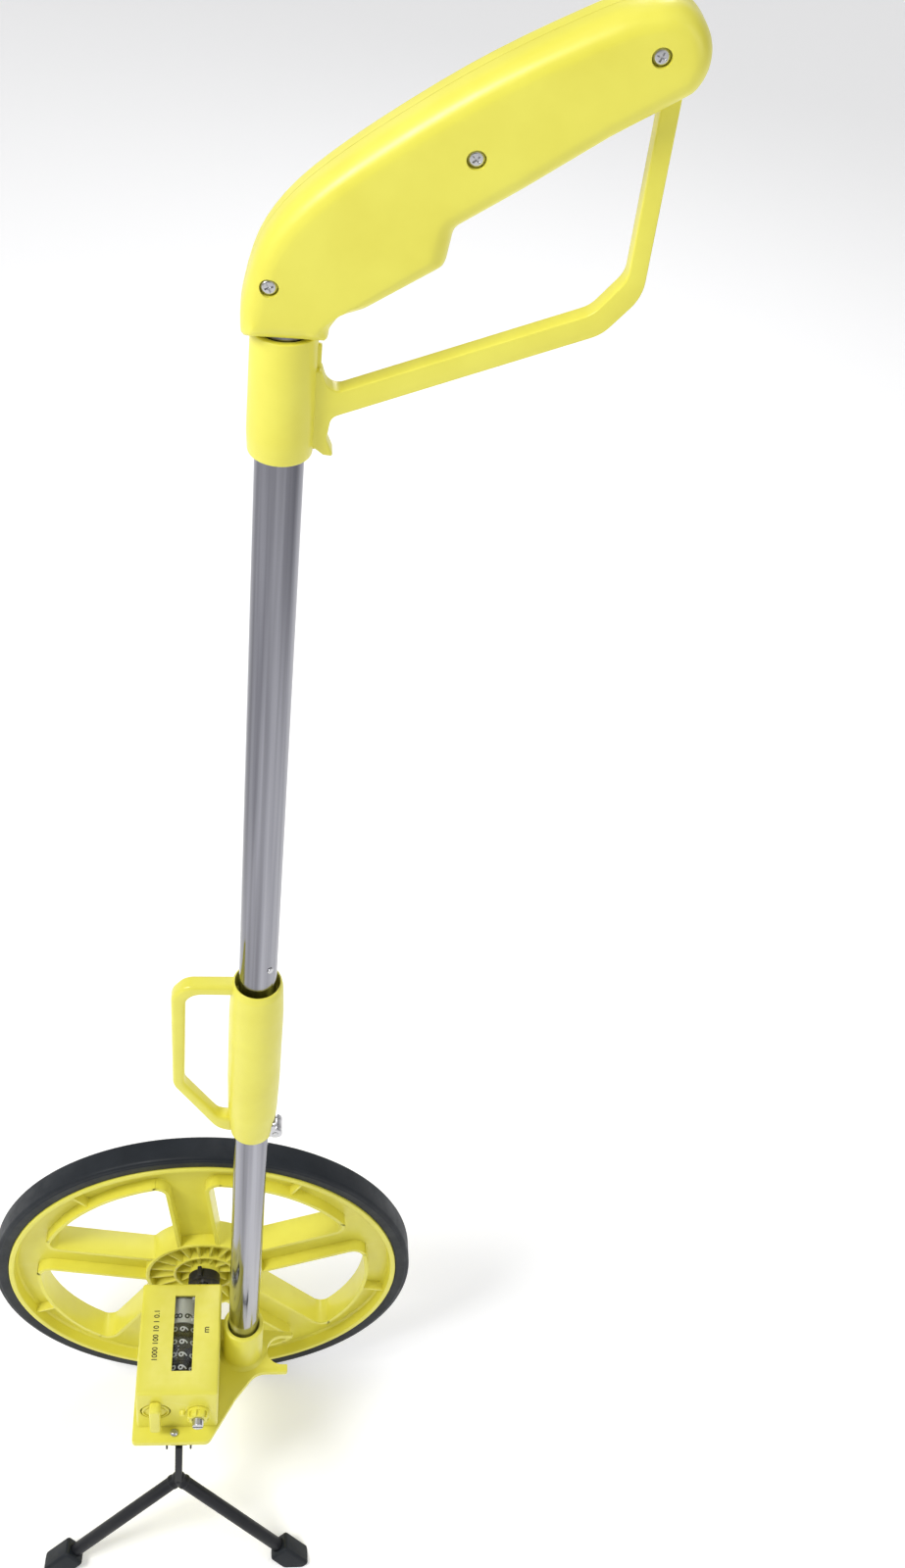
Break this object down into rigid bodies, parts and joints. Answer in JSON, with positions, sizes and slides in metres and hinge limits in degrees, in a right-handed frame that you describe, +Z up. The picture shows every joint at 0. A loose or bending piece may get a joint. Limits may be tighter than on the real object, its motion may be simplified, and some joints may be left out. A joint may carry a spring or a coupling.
{
  "type": "measuring wheel",
  "caption": "Push-along surveying wheel with a hub-side mechanical counter, folding tubular mast, closed hand grip and fold-out stand.",
  "frame": {"origin": "where the wheel touches the ground, in the middle of the tyre", "axes": "+X towards the user along the rolling direction, +Y along the axle from the counter to the wheel, +Z up"},
  "size_m": [0.3429, 0.1959, 1.1465],
  "materials": {
    "yellow_plastic": "satin moulded plastic, lemon yellow",
    "tyre_rubber": "smooth near-black rubber",
    "black_plastic": "matt black plastic",
    "white_plastic": "satin white plastic",
    "chrome_tube": "polished chromed steel tube",
    "steel": "bright zinc-plated steel",
    "stand_steel": "black painted steel tube",
    "clear_window": "clear plastic window"
  },
  "bodies": {
    "frame": {"base_bracket": "yellow_plastic", "socket_screw": "steel", "ledge_screw": "steel", "case_screw_1": "steel", "case_screw_2": "steel", "case_screw_3": "steel", "counter_case": "yellow_plastic", "window_lens": "clear_window", "counter_chassis": "steel", "axle_bush_rear": "black_plastic", "axle_bush_front": "black_plastic", "drum_shaft": "steel", "pinion_shaft": "steel", "lower_tube": "chrome_tube", "hinge_lower": "steel", "hinge_pin": "steel", "stand_bracket": "stand_steel", "stand_pin": "steel"},
    "wheel": {"tyre": "tyre_rubber", "wheel_rim": "yellow_plastic", "drive_dog": "black_plastic", "axle_shaft": "steel", "axle_knob": "yellow_plastic", "axle_washer": "steel", "axle_nut": "steel", "drive_gear": "white_plastic"},
    "tenths": {"drum_tenths": "white_plastic", "drum_gear": "white_plastic"},
    "units": {"drum_units": "black_plastic"},
    "tens": {"drum_tens": "black_plastic"},
    "hundreds": {"drum_hundreds": "black_plastic"},
    "thousands": {"drum_thousands": "black_plastic"},
    "pinion_1": {"carry_pinion_1": "white_plastic"},
    "pinion_2": {"carry_pinion_2": "white_plastic"},
    "pinion_3": {"carry_pinion_3": "white_plastic"},
    "pinion_4": {"carry_pinion_4": "white_plastic"},
    "reset": {"reset_knob": "yellow_plastic", "reset_shaft": "steel"},
    "mast": {"hinge_upper": "steel", "upper_tube": "chrome_tube", "stop_rivet": "steel", "guard_sleeve": "yellow_plastic", "grip_front": "yellow_plastic", "grip_rear": "yellow_plastic", "grip_screw_1": "steel", "grip_screw_2": "steel", "grip_screw_3": "steel"},
    "sleeve": {"lock_sleeve": "yellow_plastic"},
    "stand": {"stand_fork": "stand_steel", "stand_foot_left": "tyre_rubber", "stand_foot_right": "tyre_rubber"}
  },
  "joints": [
    {"name": "wheel_spin", "type": "hinge", "parent": "frame", "child": "wheel", "pos_m": [0, 0, 0.15915], "axis": [0, 1, 0], "continuous": true},
    {"name": "tenths_turn", "type": "hinge", "parent": "frame", "child": "tenths", "pos_m": [-0.0145, 0, 0.1683], "axis": [0, 1, 0], "continuous": true},
    {"name": "units_turn", "type": "hinge", "parent": "frame", "child": "units", "pos_m": [-0.0145, 0, 0.1683], "axis": [0, 1, 0], "continuous": true},
    {"name": "tens_turn", "type": "hinge", "parent": "frame", "child": "tens", "pos_m": [-0.0145, 0, 0.1683], "axis": [0, 1, 0], "continuous": true},
    {"name": "hundreds_turn", "type": "hinge", "parent": "frame", "child": "hundreds", "pos_m": [-0.0145, 0, 0.1683], "axis": [0, 1, 0], "continuous": true},
    {"name": "thousands_turn", "type": "hinge", "parent": "frame", "child": "thousands", "pos_m": [-0.0145, 0, 0.1683], "axis": [0, 1, 0], "continuous": true},
    {"name": "pinion_1_turn", "type": "hinge", "parent": "frame", "child": "pinion_1", "pos_m": [-0.0165, 0, 0.1524], "axis": [0, 1, 0], "continuous": true},
    {"name": "pinion_2_turn", "type": "hinge", "parent": "frame", "child": "pinion_2", "pos_m": [-0.0165, 0, 0.1524], "axis": [0, 1, 0], "continuous": true},
    {"name": "pinion_3_turn", "type": "hinge", "parent": "frame", "child": "pinion_3", "pos_m": [-0.0165, 0, 0.1524], "axis": [0, 1, 0], "continuous": true},
    {"name": "pinion_4_turn", "type": "hinge", "parent": "frame", "child": "pinion_4", "pos_m": [-0.0165, 0, 0.1524], "axis": [0, 1, 0], "continuous": true},
    {"name": "reset_turn", "type": "hinge", "parent": "frame", "child": "reset", "pos_m": [-0.031, 0, 0.159], "axis": [0, 1, 0], "range_deg": [0, 70], "stiffness_Nm_per_rad": 0.02},
    {"name": "mast_fold", "type": "hinge", "parent": "frame", "child": "mast", "pos_m": [0.04625, -0.06, 0.433], "axis": [0, 1, 0], "range_deg": [0, 180]},
    {"name": "sleeve_slide", "type": "slide", "parent": "mast", "child": "sleeve", "axis": [0, 0, 1], "range_m": [0, 0.028]},
    {"name": "stand_fold", "type": "hinge", "parent": "frame", "child": "stand", "pos_m": [-0.014, -0.1245, 0.122], "axis": [1, 0, 0], "range_deg": [0, 68]}
  ],
  "couplings": [
    {"joint": "tenths_turn", "follows": "wheel_spin", "ratio": -1},
    {"joint": "units_turn", "follows": "wheel_spin", "ratio": -0.1},
    {"joint": "tens_turn", "follows": "wheel_spin", "ratio": -0.01},
    {"joint": "hundreds_turn", "follows": "wheel_spin", "ratio": -0.001},
    {"joint": "thousands_turn", "follows": "wheel_spin", "ratio": -0.0001},
    {"joint": "pinion_1_turn", "follows": "wheel_spin", "ratio": 0.25},
    {"joint": "pinion_2_turn", "follows": "wheel_spin", "ratio": 0.025},
    {"joint": "pinion_3_turn", "follows": "wheel_spin", "ratio": 0.0025},
    {"joint": "pinion_4_turn", "follows": "wheel_spin", "ratio": 0.00025}
  ]
}
